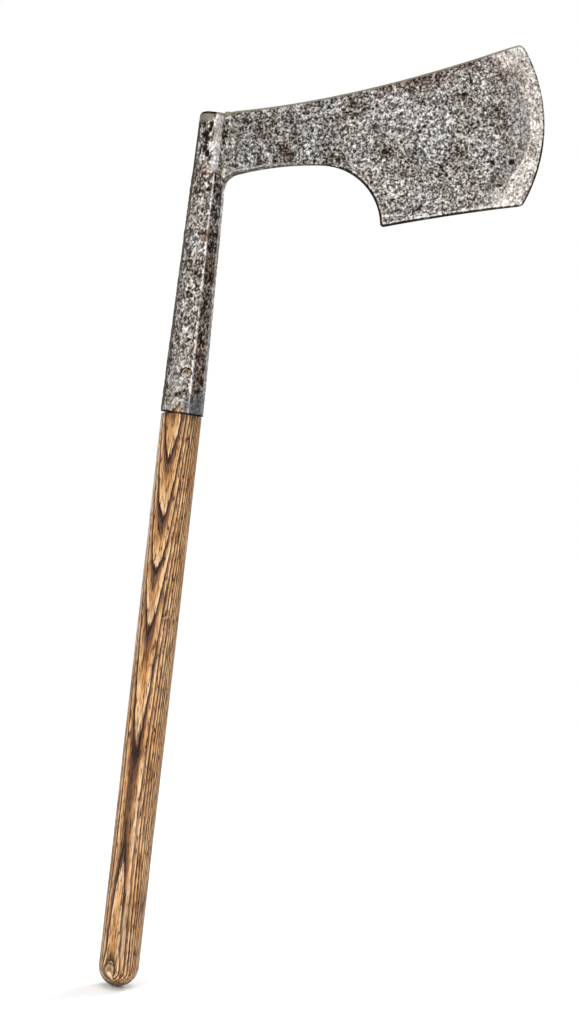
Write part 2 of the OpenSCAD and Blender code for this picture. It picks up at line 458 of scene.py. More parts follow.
def finish_material(tree, colour, metallic, roughness, height=None, depth=0.0, coat=0.0, shine=0.5):
    """The surface shader, with bump from a height where there is one. depth is in metres."""
    inputs = dict(Base_Color=colour, Metallic=metallic, Roughness=roughness, Specular_IOR_Level=shine)
    surface = add(tree, "ShaderNodeBsdfPrincipled", **inputs, Coat_Weight=coat, Coat_Roughness=0.25)
    if height is not None:
        bump = add(tree, "ShaderNodeBump", Height=height, Distance=depth, Strength=1.0)
        link(tree, bump.outputs[0], surface.inputs["Normal"])
    out = add(tree, "ShaderNodeOutputMaterial")
    link(tree, surface.outputs[0], out.inputs[0])
    return surface


# ---------------- materials
MOST_RUST = 0.95
COOL_SHADES = stops((22, 23, 25), (112, 115, 119), (228, 232, 236))


def iron_material(name, shades, rust_shades, bright, grime=(136, 128, 108), ground_shades=None):
    """Old forged iron. Its shades run from the floor of a pit to bare worn metal. The mesh's own fields say
    where each lies: tone, rust, cool, wear, grime and, on a piece with ground_shades, ground. wear is worn
    metal, and on the socket a painted highlight as well; grime is dirt, and on the socket painted shade as
    well."""
    metal, less_when_ground = 0.45, 0.20
    material, tree = new_material(name)
    fine = speckle(tree, 0.8 * MM, detail=3.0, rough=0.65)
    calm = maths(tree, "MULTIPLY_ADD", field(tree, "grime"), -1.1, 1.0, clamp=True)
    ripple = maths(tree, "MULTIPLY", maths(tree, "SUBTRACT", fine, 0.5), calm)
    tone = maths(tree, "ADD", field(tree, "tone"), ripple)
    colour = ramp(tree, tone, shades)
    stained = ramp(tree, tone, rust_shades)
    metallic = maths(tree, "MULTIPLY", tone, metal, clamp=True)
    if ground_shades:
        ground = field(tree, "ground")
        colour = mix(tree, ground, colour, ramp(tree, tone, ground_shades))
        share = maths(tree, "MULTIPLY_ADD", ground, -less_when_ground, metal)
        metallic = maths(tree, "MULTIPLY", tone, share, clamp=True)
    colour = mix(tree, field(tree, "rust"), colour, stained)
    colour = mix(tree, field(tree, "cool"), colour, ramp(tree, tone, COOL_SHADES))
    # The grime colour marks dirt, and on the socket's left side it is part of the painted shade.
    colour = mix(tree, field(tree, "grime"), colour, seen(*grime))
    # The bright colour marks worn metal, and on the socket's arris and scarf band it is a painted highlight.
    colour = mix(tree, field(tree, "wear"), colour, bright)
    roughness = maths(tree, "MULTIPLY_ADD", tone, -0.25, 0.74, clamp=True)
    shine = maths(tree, "MULTIPLY", tone, 0.45, clamp=True)
    finish_material(tree, colour, metallic, roughness, tone, 0.30 * MM, shine=shine)
    return material


def ash_material():
    """Oiled ash. The field ring counts the growth rings at each point, and each ring runs from pale wood to
    porous dark wood and ends in a thin dark line."""
    material, tree = new_material("oiled_ash")
    grain = speckle(tree, 0.45 * MM, stretch=(1, 1, 18), detail=3.0, rough=0.65)
    pores = speckle(tree, 0.6 * MM, stretch=(1, 1, 7), detail=2.0, rough=0.6)
    broad = speckle(tree, 5 * MM, stretch=(1, 1, 7), detail=2.0)
    wobble = maths(tree, "MULTIPLY", maths(tree, "SUBTRACT", grain, 0.5), 0.13)
    wobble = maths(tree, "ADD", wobble, maths(tree, "MULTIPLY", maths(tree, "SUBTRACT", pores, 0.5), 0.12))
    part = maths(tree, "FRACT", maths(tree, "ADD", field(tree, "ring"), wobble))
    ring_shades = (
        (0.0, seen(48, 18, 5)),
        (0.07, seen(100, 54, 24)),
        (0.14, seen(255, 235, 206)),
        (0.34, seen(251, 213, 166)),
        (0.60, seen(226, 181, 124)),
        (0.76, seen(154, 115, 86)),
        (0.92, seen(116, 91, 77)),
        (0.97, seen(68, 39, 22)),
        (1.0, seen(48, 18, 5)),
    )
    colour = ramp(tree, part, ring_shades)
    plain = seen(255, 255, 255)
    streaks = ramp(tree, grain, ((0.33, seen(78, 46, 25)), (0.47, seen(226, 214, 198)), (0.60, plain)))
    flecks = ramp(tree, pores, ((0.34, seen(88, 58, 38)), (0.46, seen(240, 236, 230)), (0.62, plain)))
    tint = ramp(tree, broad, ((0.34, seen(232, 214, 192)), (0.66, plain)))
    for darker in (streaks, flecks, tint):
        colour = mix(tree, 1.0, colour, darker, "MULTIPLY")
    # The grey mix is painted shade, darkening the haft towards its sides.
    colour = mix(tree, field(tree, "grey"), colour, seen(100, 86, 68))
    # The stain colour marks dirt, and painted shade in the gap and just below the socket's mouth.
    colour = mix(tree, field(tree, "stain"), colour, seen(60, 39, 25))
    # The pale colour marks bare wood, painted light in the socket's notch and a painted sheen down the front.
    colour = mix(tree, field(tree, "chip"), colour, seen(226, 194, 160))
    roughness = maths(tree, "MULTIPLY_ADD", grain, -0.25, 0.60)
    height = maths(tree, "MULTIPLY", grain, pores)
    finish_material(tree, colour, 0.0, roughness, height, 0.30 * MM, coat=0.02, shine=0.22)
    return material


def wedge_material():
    """Pale end grain of the driven wedge."""
    material, tree = new_material("wedge_oak")
    grain = speckle(tree, 0.4 * MM, stretch=(6, 1, 1), detail=3.0)
    shades = ((0.3, (0.20, 0.11, 0.05)), (0.6, (0.45, 0.28, 0.14)), (0.8, (0.55, 0.37, 0.2)))
    colour = ramp(tree, grain, shades)
    finish_material(tree, colour, 0.0, 0.8, grain, 0.15 * MM)
    return material


# ---------------- the head: blade body and steel bit
def blade_frame(points):
    """Points in the blade's plane: across, up, and out of the back towards the front."""
    away = points - PLANE_ORIGIN
    return away[:, 0], away @ UP_WAY, away @ FRONT_WAY


def from_blade_frame(x, up, out):
    """The points again, from their places in the blade's plane."""
    return PLANE_ORIGIN + np.outer(x, (1, 0, 0)) + np.outer(up, UP_WAY) + np.outer(out, FRONT_WAY)


def edge_circle():
    """The cutting edge's centre in the blade's plane and its radius, fitted to the bit's sharp line."""
    x, up, out = blade_frame(points_of("steel_bit"))
    sharp = abs(out - EDGE_T) < 0.02 * MM
    a = np.column_stack([2 * x[sharp], 2 * up[sharp], np.ones(sharp.sum())])
    cx, cz, rest = np.linalg.lstsq(a, x[sharp] ** 2 + up[sharp] ** 2, rcond=None)[0]
    return cx, cz, math.sqrt(rest + cx * cx + cz * cz)


EDGE_X, EDGE_UP, EDGE_R = edge_circle()
WELD_R = EDGE_R - BIT_WIDTH


def blade_thickness(x, up):
    """Thickness of the smooth blade at a place in its plane."""
    share = np.clip((NECK_GONE_X - x) / (NECK_GONE_X - NECK_FULL_X), 0, 1)
    plate = BLADE_T + (NECK_T - BLADE_T) * share**4
    from_edge = np.clip((EDGE_R - np.hypot(x - EDGE_X, up - EDGE_UP)) / BEVEL_WIDTH, 0, 1)
    ground = EDGE_T + (BLADE_T - EDGE_T) * from_edge
    return np.where(x > EDGE_X, np.minimum(plate, ground), plate)


def blade_blank():
    """The whole blade in even quads: the CAD's outline as a thick slab, remeshed, then thinned to its true
    section."""
    slab, root_x, cut_reach = 7.0 * MM, 4.5 * MM, 12.5 * MM
    points, faces = [], []
    for node in ("blade_body", "steel_bit"):
        mesh = frame["nodes"][node].data
        x, up, out = blade_frame(points_of(node))
        x = np.where(x < cut_reach, root_x, x)
        out = np.where(out > 0.1 * MM, slab, 0.0)
        start = sum(len(p) for p in points)
        points.append(np.column_stack([x, -out, up]))
        mesh.calc_loop_triangles()
        faces += [tuple(start + v for v in t.vertices) for t in mesh.loop_triangles]
    even = remeshed(mesh_from(np.vstack(points), faces), 0.5 * MM)
    x, back, up = mesh_points(even).T
    set_points(even, from_blade_frame(x, up, -back / slab * blade_thickness(x, up)))
    return even


def pitted(points, seed):
    """Corroded iron as two fields: pits, low on the floor of a pit and high on bare metal, and patch, low
    where the corrosion has gone deep and brown."""
    patch = 0.7 * noise(points, 30, seed) + 0.7 * noise(points, 13, seed + 10)
    small = (
        0.62 * noise(points, 1.45, seed + 20)
        + 0.46 * noise(points, 2.2, seed + 30)
        + 0.26 * noise(points, 3.9, seed + 40)
        + 0.17 * noise(points, 7.0, seed + 50)
    )
    small = 0.35 * np.tanh(small / 0.34)
    bent = points + 0.6 * MM * noise(points, 2.6, seed + 65)[:, None]
    grain_away, grain = cells(bent, 2.5, seed + 70)
    small += 0.40 * (grain - 0.5) * smooth(0.85, 0.40, grain_away)
    deep, own = cells(points, 4.4, seed + 60)
    spot = smooth(0.38, 0.22, deep) * (own > 0.55)
    return small - 0.28 * spot + 0.095 * patch, patch


def rim_field(x, up, normals):
    """How far each point of the blade is from the outline, in millimetres, and whether the outline faces up
    (1) or down (-1) there."""
    on_rim = np.flatnonzero(abs(normals @ FRONT_WAY) < 0.5)
    tree = KDTree(len(on_rim))
    for place_in_tree, i in enumerate(on_rim):
        tree.insert((x[i], up[i], 0), place_in_tree)
    tree.balance()
    found = [tree.find((a, b, 0)) for a, b in zip(x, up)]
    away = np.array([f[2] for f in found]) / MM
    faces = (normals @ UP_WAY)[on_rim[[f[1] for f in found]]]
    return away, faces


def blob(at, centre_x, centre_up, size, long=1.0):
    """A soft round spot on the blade's front, 1 in its middle. long stretches it along the blade."""
    return near(at.x, centre_x, size * long) * near(at.up, centre_up, size) * at.front


# Deep black pits and brown patches that stand out on the blade's front: across, up and size in millimetres
BLACK_PITS = ((11, -19, 1.6), (10.5, -8, 1.3), (12, -33, 1.1), (15, -38, 1.3), (147, -13, 2.6))
BLACK_PITS += ((178, 12, 1.6), (209, 43, 2.2), (240, -12, 2.2), (256, -10, 2.4), (247, -31, 1.9))
BROWN_PATCHES = ((64, -23, 6.5), (120, 22, 8), (150, -14, 6), (170, 48, 10), (205, -38, 6))
BROWN_PATCHES += ((207, 40, 5), (246, -22, 4.5))
# Cleaner and dirtier parts of the front: across, up and size in millimetres, and how much lighter
FRONT_SHADES = ((250, -14, 17, 0.10), (244, 72, 13, -0.21))


def blade_places(even):
    """Where each point of the blade lies in its plane, from its edge and from its outline, in millimetres."""
    points, normals = mesh_points(even), mesh_normals(even)
    x, up, out = blade_frame(points)
    at = SimpleNamespace(points=points, normals=normals, x=x / MM, up=up / MM, out=out)
    at.away, at.faces = rim_field(x, up, normals)
    at.around = np.arctan2(up - EDGE_UP, x - EDGE_X)
    at.off_middle = np.clip((at.around - math.radians(5)) / math.radians(31), -1, 1)
    at.from_edge = (EDGE_R - np.hypot(x - EDGE_X, up - EDGE_UP)) / MM
    at.thickness = blade_thickness(x, up) / MM
    at.edge_side = x > EDGE_X
    at.front = smooth(-0.2, 0.2, normals @ FRONT_WAY)
    at.rim = smooth(0.75, 0.35, abs(normals @ FRONT_WAY))
    return at


def blade_pits(at):
    """The whole blade's pits and patches, those that stand out, and a browner stretch of the top edge."""
    pits, patch = pitted(at.points, 7)
    for centre_x, centre_up, size in BROWN_PATCHES:
        spot = blob(at, centre_x, centre_up, size, 1.6)
        pits, patch = pits - 0.11 * spot, patch - 0.9 * spot
    browned = smooth(16, 4, at.away) * smooth(0.2, 0.4, at.faces) * at.front
    browned *= smooth(110, 150, at.x) * smooth(245, 225, at.x)
    pits, patch = pits - 0.06 * browned, patch - 0.7 * browned
    for centre_x, centre_up, size, lift in FRONT_SHADES:
        spot = blob(at, centre_x, centre_up, size)
        pits, patch = pits + lift * spot, patch + 10 * lift * spot
    return pits, patch


def steel_fields(at, tone, pits, patch):
    """The steel bit: a cream band, broad at the toe and heel, with drawn-out streaks, a bright line along its
    inner side, a dull strip behind it, and a dark lip at the cutting edge."""
    soft = 2.2 + 4.5 * at.off_middle**2
    inside = at.from_edge - (12 + 15 * at.off_middle**2)
    band = smooth(1, -1, (inside + soft * noise(at.points, 9, 71)) / soft) * at.edge_side
    drawn = np.column_stack([at.from_edge * MM, at.around * EDGE_R, at.out])
    streak = noise(drawn, (1.3, 13, 9), 72) + 0.6 * noise(drawn, (3.5, 30, 9), 73)
    bared = 0.63 + 0.08 * at.off_middle**2 - 0.08 * np.clip(patch, -1, 1)
    tone = toned(tone, bared + 0.78 * pits + 0.16 * streak, band)
    middle = np.clip(1 - at.off_middle**2, 0, 1)
    dull = near(inside, 3.6, 2.4) * at.edge_side * middle
    line = near(inside, -0.2, 0.9) * at.edge_side * middle * smooth(-0.9, 0.3, noise(at.points, 12, 81))
    tone = toned(tone, 0.54 + 0.45 * streak, 0.3 * dull) + 0.42 * line
    lip = smooth(1.7, 0.7, at.from_edge + 0.3 * noise(at.points, 3, 74)) * at.edge_side
    tone -= (0.42 + 0.3 * noise(at.points, 5, 82)) * lip
    return tone, band, line, dull, lip


def rim_fields(at, tone, lip):
    """Rims: a smooth strip along the top, a lighter one under the neck, a bright worn arris that is partly a
    painted highlight along the beard's front, and painted shade under the beard.
    """
    on_face = 1 - at.rim
    top_strip = smooth(2.0, 1.0, at.away) * smooth(0.3, 0.7, at.faces) * on_face * (1 - lip)
    neck_strip = smooth(3.2, 1.2, at.away) * smooth(-0.2, -0.6, at.faces) * smooth(95, 60, at.x) * on_face
    beard = smooth(0.1, -0.1, at.faces) * smooth(100, 130, at.x)
    # Painted shade along the beard's lower rim on the front face.
    under = smooth(1.9, 1.2, at.away) * beard
    # low_rim: a bright worn arris along the beard's front, partly a painted highlight.
    low_rim = smooth(3.6, 2.4, at.away) * beard * (at.x < 262)
    tone = toned(tone, 0.44, 0.85 * top_strip)
    tone = toned(tone, 0.70, 0.6 * neck_strip)
    tone += 0.26 * low_rim * on_face * (1 - under) - 0.7 * under * on_face
    # Painted shade on the outline's downward-facing sides, deepest under the beard.
    tone -= at.rim * (at.faces < 0) * (0.10 + 0.60 * smooth(80, 120, at.x))
    return tone, top_strip


def root_fields(at, tone):
    """Where the neck leaves the socket: a groove with painted shade in it, and a painted highlight in a thin
    line beyond it.
    """
    # Painted shade in the groove, which is also sunk.
    groove = near(at.x + 0.5 * noise(at.points, 6, 75), 9.6, 1.0) * at.front
    groove *= smooth(-0.4, 0.4, noise(at.points, 2.6, 79))
    # Painted highlight in a thin line beyond the groove.
    root_line = near(at.x + 0.6 * noise(at.points, 8, 76), 13.2, 0.8) * at.front
    return tone + 0.22 * root_line - 0.45 * groove, groove


def shape_blade(even):
    """Pits, hammer marks and worn rims on the blade, and the fields that its materials read."""
    at = blade_places(even)
    pits, patch = blade_pits(at)
    calmer = 1 - 0.35 * smooth(42, 20, at.from_edge) * at.edge_side
    tone = 0.515 + pits * calmer - 0.085 * smooth(150, 80, at.x)
    tone, band, line, dull, lip = steel_fields(at, tone, pits, patch)
    for centre_x, centre_up, size in BLACK_PITS:
        tone -= 0.75 * smooth(0.25, 0.75, blob(at, centre_x, centre_up, size, 1.3))
    tone, top_strip = rim_fields(at, tone, lip)
    tone, groove = root_fields(at, tone)
    tone = np.clip(tone, 0, 1)
    sink = 0.45 * smooth(0.62, 0.05, tone) + 0.25 * groove - 0.12 * line
    sink -= 0.10 * noise(at.points, 26, 5) * (1 - at.rim)
    sink *= np.clip(at.thickness / 3.2, 0.10, 1) * (1 - 0.75 * at.rim) * (1 - 0.7 * top_strip)
    nick = 0.30 * np.clip(noise(at.points, 4, 77), 0, 1) * lip
    inward = np.column_stack([np.cos(at.around), np.zeros(len(tone)), np.sin(at.around)])
    moved = at.points - MM * (at.normals * sink[:, None] + inward * nick[:, None])
    moved[:, 2] -= 0.7 * MM * smooth(19, 11, at.x) * smooth(-3, 0, at.up)
    set_points(even, moved)
    rust = np.clip(smooth(0.0, 1.3, -patch) * 0.75 + 0.20 * dull, 0, MOST_RUST)
    rust = np.clip(rust + 0.6 * band * smooth(0.35, 0.9, noise(at.points, 5, 80)), 0, MOST_RUST)
    tan_dirt = smooth(27, 14, at.x) * smooth(-0.1, 0.5, noise(at.points, 4, 78)) * at.front
    grime = np.clip(0.55 * tan_dirt + 0.8 * blob(at, 131, -37, 2.2) + 0.60 * top_strip, 0, 1)
    cool = 0.32 * smooth(0.1, 0.9, patch) * (1 - band)
    keep(even, tone=tone, rust=rust, cool=cool, wear=0.45 * line, grime=grime, ground=0.8 * band)


def weld_tool():
    """Everything beyond the weld line, as a solid that splits the bit from the body."""
    steps, far, spread = 90, 0.25, math.radians(75)
    angles = np.linspace(-spread, spread, steps)
    arc = [(EDGE_X + WELD_R * math.cos(a), EDGE_UP + WELD_R * math.sin(a)) for a in angles]
    corners = arc + [(EDGE_X + far, arc[-1][1]), (EDGE_X + far, arc[0][1])]
    x, up = np.array(corners).T
    return prism(from_blade_frame(x, up, np.zeros(len(corners))), FRONT_WAY, -0.05, 0.05)


def cone_tool(low_z, high_z, low_r, high_r, sides=160):
    """A straight taper round the haft's axis, as a solid."""
    turn = np.linspace(0, 2 * math.pi, sides, endpoint=False)
    ring = np.column_stack([np.cos(turn), np.sin(turn), np.zeros(sides)])
    low, high = ring * low_r + (0, 0, low_z), ring * high_r + (0, 0, high_z)
    return mesh_from(np.vstack([low, high]), grid_faces(2, sides) + end_caps(sides, 2 * sides))


def make_blade():
    """The blade body and its steel bit, shaped as one forging and then parted along the weld."""
    blank = blade_blank()
    shape_blade(blank)
    weld = weld_tool()
    in_wall, end_z = 1.2 * MM, TOP_Z + 30 * MM
    core = cone_tool(MOUTH_Z, end_z, MOUTH_R - in_wall, taper(end_z, MOUTH_R, TOP_R) - in_wall)
    bit = cut(blank.copy(), weld, "INTERSECT")
    body = cut(cut(blank, weld, "DIFFERENCE"), core, "DIFFERENCE")
    dark = ((28, 24, 21), (70, 65, 61), (110, 105, 100))
    grey = stops(*dark, (151, 147, 142), (190, 187, 182), (236, 233, 229))
    rusty = stops((30, 20, 15), (76, 62, 55), (118, 104, 96), (165, 153, 145), (220, 212, 204))
    cream = stops((40, 34, 28), (106, 97, 89), (164, 156, 147), (214, 207, 198), (252, 248, 240))
    bright = seen(250, 244, 234)
    iron = iron_material("pitted_iron", grey, rusty, bright, ground_shades=cream)
    steel = iron_material("worn_steel", grey, rusty, bright, ground_shades=cream)
    place(new_object("blade_body_forging", body), iron, "blade_iron", "blade_body")
    place(new_object("steel_bit_forging", bit), steel, "edge_steel", "steel_bit")


# ---------------- the socket
def socket_radius(turn, z):
    """Outer radius of the smooth socket. turn is the angle from the front towards +X."""
    round_r = taper(z, MOUTH_R, TOP_R)
    r = round_r
    for flat in FLAT_TURNS:
        lean = np.cos(turn - math.radians(flat))
        r = np.where(lean > 0.5, np.minimum(r, FLAT_SHARE * round_r / np.maximum(lean, 0.5)), r)
    return r


def socket_places():
    """The socket's closed tube, and where each of its points lies, in millimetres and degrees."""
    columns, outer_rows, rim_rows, inner_rows = 236, 470, 8, 40
    turn = np.linspace(-math.pi, math.pi, columns, endpoint=False)
    into_rim, rise = np.linspace(0, 1, rim_rows + 2)[1:-1], np.linspace(0, 1, outer_rows)
    fall, top, mouth = np.linspace(1, 0, inner_rows), np.ones(rim_rows), np.zeros(rim_rows)
    share = np.concatenate([rise, top, fall, mouth])
    inward = np.concatenate([np.zeros(outer_rows), into_rim, np.ones(inner_rows), into_rim[::-1]])
    rows = len(share)
    t, z = np.tile(turn, rows), MOUTH_Z + (TOP_Z - MOUTH_Z) * np.repeat(share, columns)
    inner, outer_r = np.repeat(inward, columns), socket_radius(t, z)
    way, points = turned_points(t, outer_r + (taper(z, MOUTH_BORE_R, TOP_BORE_R) - outer_r) * inner, z)
    at = SimpleNamespace(points=points, way=way, inner=inner, x=points[:, 0] / MM, z=z / MM)
    at.ring_faces = grid_faces(rows, columns, close_rows=True)
    at.turned = np.degrees(t)
    at.below_top, at.above_mouth = (TOP_Z - z) / MM, (z - MOUTH_Z) / MM
    at.out, at.front = 1 - np.clip(inner * 4, 0, 1), smooth(0.0, 0.4, np.cos(t))
    return at


def flats_tone(at, tone):
    """Painted light on the socket's flats: a painted highlight along the arris, painted shade on the flat to
    its right, a painted rim light on the strip beyond it, painted shade on the left side and its rim, and
    painted light on the front towards the left. at keeps what the shape and the other fields need."""
    under_neck = smooth(44, 60, at.below_top)
    wander = 1.3 * noise(at.points, (30, 30, 26), 211) + 0.5 * noise(at.points, 5, 212)
    # Painted highlight along the arris, which is also raised a little.
    at.arris = near(at.turned - wander, 20.5, 3.0) * under_neck
    at.arris *= 0.45 + 0.55 * smooth(-0.6, 0.1, noise(at.points, (9, 9, 11), 213))
    # Painted rim light on the strip at the socket's right side.
    at.pale_strip = smooth(61, 64, at.turned) * smooth(80, 74, at.turned)
    # Painted shade on the flat to the right of the arris.
    at.dark_flat = smooth(24, 28, at.turned + wander) * smooth(62, 60, at.turned) * under_neck
    # Painted shade on the left side and, stronger near the top and the mouth, on the left rim.
    at.left_side = smooth(-48, -66, at.turned) * at.front
    left_rim = smooth(-50, -64, at.turned) * smooth(-125, -100, at.turned)
    left_rim *= 0.26 + 0.42 * smooth(66, 44, at.below_top) + 0.12 * smooth(60, 20, at.above_mouth)
    tone = toned(tone, 0.60, 0.55 * at.pale_strip)
    tone += 0.50 * at.arris - 0.16 * at.dark_flat - 0.20 * at.left_side - left_rim
    # Painted light: the front a little lighter towards the left.
    return tone + 0.05 * smooth(20, -10, at.turned) * at.front


def scarf_tone(at, tone, pits):
    """The weld scarf: a raised band by the neck, pale as worn metal and as a painted highlight, a groove with
    painted shade in it, big pits to its left and a smooth corner.
    """
    face = at.front * at.out
    at.by_neck = smooth(56, 46, at.below_top + 4 * noise(at.points, 9, 214)) * face
    # The band's paleness is partly worn metal and partly a painted highlight on its slope.
    at.band = smooth(0.2, 2.0, at.x - 0.8 * noise(at.points, 5, 215)) * smooth(8.6, 6.9, at.x) * at.by_neck
    # Painted shade in the groove, which is also sunk.
    at.groove = near(at.x, 9.3, 0.8) * at.by_neck * smooth(-0.5, 0.5, noise(at.points, 2.6, 222))
    deep, own = cells(at.points * (1, 1, 0.8), 5.0, 216)
    at.cluster = smooth(0.50, 0.34, deep) * (own > 0.25) * smooth(1.5, -0.5, at.x) * smooth(-11, -7, at.x)
    at.cluster *= smooth(7, 11, at.below_top) * smooth(46, 36, at.below_top) * face
    at.corner = smooth(10, 6, at.below_top + 1.5 * noise(at.points, 5, 217)) * smooth(1, -2, at.x) * face
    tone = toned(tone, 0.74 + 0.55 * pits, 0.75 * at.band)
    return toned(tone, 0.42, 0.75 * at.corner) - 0.6 * at.groove - 0.68 * at.cluster


def mouth_tone(at, tone, pits):
    """The mouth's end: pale flaked metal on the left, smooth dark steel on the right, and painted shade in a
    dark line round both ends."""
    flaked = smooth(70, 20, at.above_mouth) * smooth(16, 4, at.turned) * smooth(-50, -30, at.turned)
    at.flaked = flaked * at.front
    uneven = at.above_mouth + 5 * noise(at.points, 8, 218)
    at.steely = smooth(21, 12, uneven) * smooth(6, 14, at.turned) * at.front
    big, own = cells(at.points * (1, 1, 0.7), 4.0, 219)
    flake_pit = smooth(0.42, 0.25, big) * (own > 0.45) * at.flaked
    tone = toned(tone, 0.68 + 0.10 * smooth(32, 12, at.above_mouth), 0.5 * at.flaked) - 0.46 * flake_pit
    tone -= 0.04 * smooth(30, 90, at.above_mouth) * (1 - at.by_neck)
    tone = toned(tone, 0.36 + 0.15 * pits, 0.7 * at.steely * (1 - at.arris))
    # Painted shade: a dark line round the top and mouth ends of the socket.
    at.rim_line = smooth(2.7, 1.5, at.below_top) + smooth(1.1, 0.5, at.above_mouth)
    return np.clip(tone - 0.55 * at.rim_line * smooth(0.9, 0.4, at.inner), 0, 1)


def socket_shape(at, tone):
    """The socket's points, sunk into pits, rounded at the top and uneven at the mouth."""
    pit = smooth(0.55, 0.05, tone) * (1 - at.dark_flat * 0.6)
    sink = 0.42 * pit + 0.6 * at.cluster + 0.3 * at.groove - 0.30 * at.band * (1 - pit) - 0.22 * at.arris
    sink = (sink + 0.14 * noise(at.points, (11, 11, 20), 220)) * at.out
    sink += 1.1 * smooth(2.4, 0.0, at.below_top) ** 2 * (1 - at.inner) * smooth(9, 3, at.x)
    moved = at.points - at.way * sink[:, None] * MM
    uneven = 0.65 + 0.6 * at.way[:, 0] + 0.20 * noise(at.way * 20 * MM, 7, 221)
    moved[:, 2] -= smooth(9, 0, at.above_mouth) * uneven * MM
    return moved


# Brown spots on the socket: height in millimetres, turn from the front in degrees, and size in millimetres
SOCKET_RUST = ((394, 14, 6), (282, 40, 9), (300, 36, 7), (452, -4, 5))


def make_socket():
    """The rolled socket: a closed tube with a painted highlight along its arris, a weld scarf at the neck,
    pits, an uneven mouth, its open seam and its two nail holes."""
    at = socket_places()
    mesh = mesh_from(at.points, at.ring_faces)
    pits, patch = pitted(at.points * (1, 1, 0.72), 203)
    tone = flats_tone(at, 0.49 + 0.95 * pits)
    tone = mouth_tone(at, scarf_tone(at, tone, pits), pits)
    moved = socket_shape(at, tone)
    set_points(mesh, moved)
    # The shaded flat's share of rust browns its painted shade.
    rust = np.clip(smooth(-0.1, 1.2, -patch) * 0.65 + 0.15 * at.dark_flat, 0, MOST_RUST)
    rust *= (1 - at.steely) * (1 - 0.6 * at.flaked)
    for rust_z, rust_turn, size in SOCKET_RUST:
        rust += near(at.z, rust_z, size) * near(at.turned, rust_turn, size * 3.0)
    rust = np.clip(rust, 0, MOST_RUST)
    # The lit strip's cool tint is part of its painted rim light.
    cool = 0.75 * at.steely + 0.4 * at.pale_strip + 0.40 * smooth(0.2, 0.9, patch)
    # The arris and the scarf band take the bright colour as a painted highlight; the band is partly worn
    # metal.
    wear = 0.30 * at.arris + 0.20 * at.band
    # The olive tint on the left side is part of its painted shade; on the corner it is dirt.
    grime = (0.50 + 0.2 * noise(moved, 2.5, 223)) * at.corner * (1 - at.rim_line) + 0.25 * at.left_side
    cool, wear, grime = np.clip((cool, wear, grime), 0, 1)
    keep(mesh, tone=tone, rust=rust, cool=cool, wear=wear, grime=grime)
    for tool in socket_tools():
        mesh = cut(mesh, tool, "DIFFERENCE")
    grey = stops((24, 20, 17), (56, 50, 45), (97, 89, 82), (142, 135, 128), (187, 181, 174), (234, 229, 223))
    rusty = stops((28, 18, 12), (66, 50, 40), (112, 88, 72), (158, 136, 118), (215, 200, 186))
    iron = iron_material("socket_iron", grey, rusty, seen(232, 226, 222), grime=(132, 127, 112))
    place(new_object("socket_forging", mesh), iron, "socket_iron", "socket")


def socket_tools():
    """Solids that open the seam at the mouth and punch the nail holes."""
    hole_r, above_nail, sides = 4.7 * MM, 0.3 * MM, 48
    torn_left = ((-8.6, -3), (-6.9, 0.6), (-5.2, 1.4), (-4.4, 3.6), (-3.2, 4.2), (-2.2, 7.6), (-1.4, 9.6))
    torn_right = ((-1.2, 6.0), (0.0, 3.0), (0.8, -3))
    seam = [(x * MM, -MOUTH_R / 2, MOUTH_Z + up * MM) for x, up in torn_left + torn_right]
    tools = [prism(seam[::-1], (0, -1, 0), 0, MOUTH_R)]
    for node, side in (("front_nail", -1), ("back_nail", 1)):
        low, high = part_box(node)
        x, z = (low.x + high.x) / 2, (low.z + high.z) / 2 + above_nail
        turns = np.linspace(0, 2 * math.pi, sides, endpoint=False)
        ring = [(x + hole_r * math.cos(a), side * MOUTH_R / 2, z + hole_r * math.sin(a)) for a in turns]
        tools.append(prism(ring, (0, side, 0), 0, MOUTH_R))
    return tools


# ---------------- the haft and its wedge
# Heights in metres along the front of the haft, and how many growth rings have run out on it by there
RING_HEIGHTS = (-0.246, -0.133, -0.090, -0.047, 0.062, 0.109, 0.154, 0.206, 0.250, 0.504)
RING_COUNTS = (1.8, 1.0, 0.86, 1.0, 2.0, 3.0, 4.0, 5.0, 5.9, 10.5)
# The knot's place on the front of the haft: across and up, in metres
KNOT = (-7 * MM, -0.2298)


def ring_count(points):
    """Growth rings at each point: the pith runs beside the haft, behind it and to the right."""
    pith_away, faces = 120 * MM, math.radians(-20)
    pith = np.array((-math.sin(faces), math.cos(faces))) * pith_away
    z = points[:, 2]
    climb = sum(np.interp(z + s, RING_HEIGHTS, RING_COUNTS) for s in (-0.016, -0.008, 0, 0.008, 0.016)) / 5
    from_pith = np.hypot(points[:, 0] - pith[0], points[:, 1] - pith[1])
    deep = np.maximum(pith_away + GRIP_R - from_pith, 0) / MM
    count = climb - deep / 1.9
    count += 0.12 * noise(points, (12, 12, 90), 401)
    count += 0.05 * noise(points, (3, 3, 60), 402)
    count += 0.03 * noise(points, (1.1, 1.1, 14), 403)
    x, up = points[:, 0] / MM, (z - KNOT[1]) / MM
    away = np.hypot(x - KNOT[0] / MM, up / 1.5)
    count += 1.2 * near(away, 0, 5.5) * smooth(0, -2 * MM, points[:, 1])
    return count + 30


